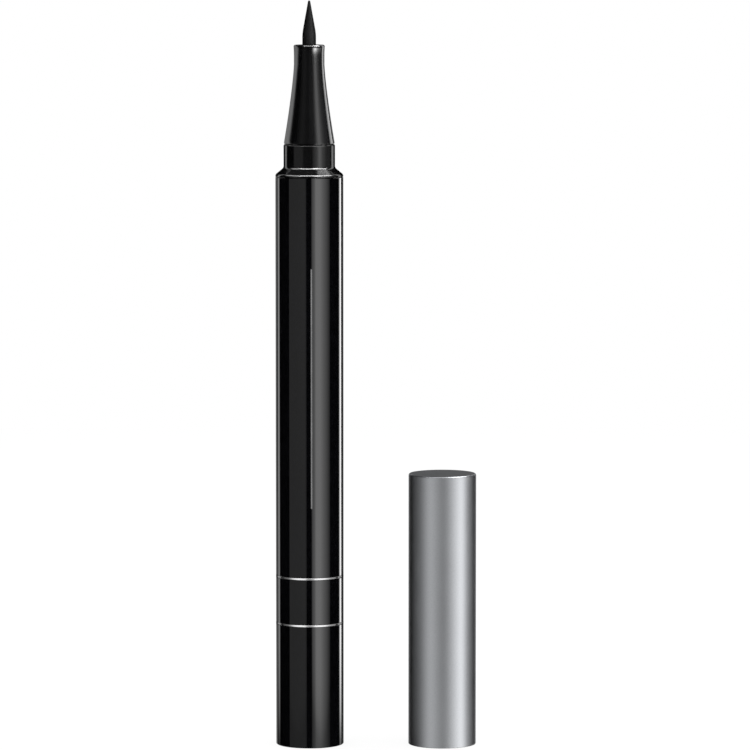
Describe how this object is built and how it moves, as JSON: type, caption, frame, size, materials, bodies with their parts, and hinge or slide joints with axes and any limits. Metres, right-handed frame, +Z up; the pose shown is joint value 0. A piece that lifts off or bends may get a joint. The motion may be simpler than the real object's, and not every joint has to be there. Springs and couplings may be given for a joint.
{
  "type": "liquid eyeliner pen with cap",
  "caption": "Liquid eyeliner pen standing on its tail with its felt nib up, beside its pull-off metal cap.",
  "frame": {"origin": "centre of the pen's flat tail face, on the surface that the pen and its cap stand on", "axes": "+Z up along the pen from tail to nib; +X from the pen towards its cap; -Y faces the viewer"},
  "size_m": [0.0321, 0.0108, 0.1193],
  "materials": {
    "gloss_black": "high gloss moulded black",
    "satin_black": "satin moulded black",
    "felt_black": "bonded felt soaked in black ink",
    "bright_silver": "bright thin trim",
    "satin_silver": "satin anodised silver grey",
    "milky_plastic": "natural translucent moulding",
    "grey_plastic": "dark grey moulding",
    "soft_white": "soft white moulding",
    "inked_fibre": "bundled fibre soaked in ink",
    "steel": "bright steel"
  },
  "bodies": {
    "pen": {"barrel": "gloss_black", "tail_plug": "gloss_black", "upper_band": "bright_silver", "lower_band": "bright_silver", "ink_tank": "milky_plastic", "feed_holder": "soft_white", "collector": "grey_plastic", "relay_core": "inked_fibre", "neck_collar": "satin_black", "nozzle": "satin_black", "nib_holder": "grey_plastic", "nib": "felt_black"},
    "ball": {"mixing_ball": "steel"},
    "cap": {"cap_shell": "satin_silver", "cap_liner": "grey_plastic", "cap_spring": "steel"},
    "inner_cap": {"inner_cap": "soft_white"}
  },
  "joints": [
    {"name": "cap_lift", "type": "slide", "parent": "pen", "child": "cap", "axis": [0, 0, 1], "range_m": [0, 0.122]},
    {"name": "inner_cap_travel", "type": "slide", "parent": "cap", "child": "inner_cap", "axis": [0, 0, 1], "range_m": [0, 0.002], "stiffness_N_per_m": 300, "springref_m": -0.002, "deforming": ["cap_spring"]},
    {"name": "ball_travel", "type": "slide", "parent": "pen", "child": "ball", "axis": [0, 0, 1], "range_m": [0, 0.0494]}
  ]
}
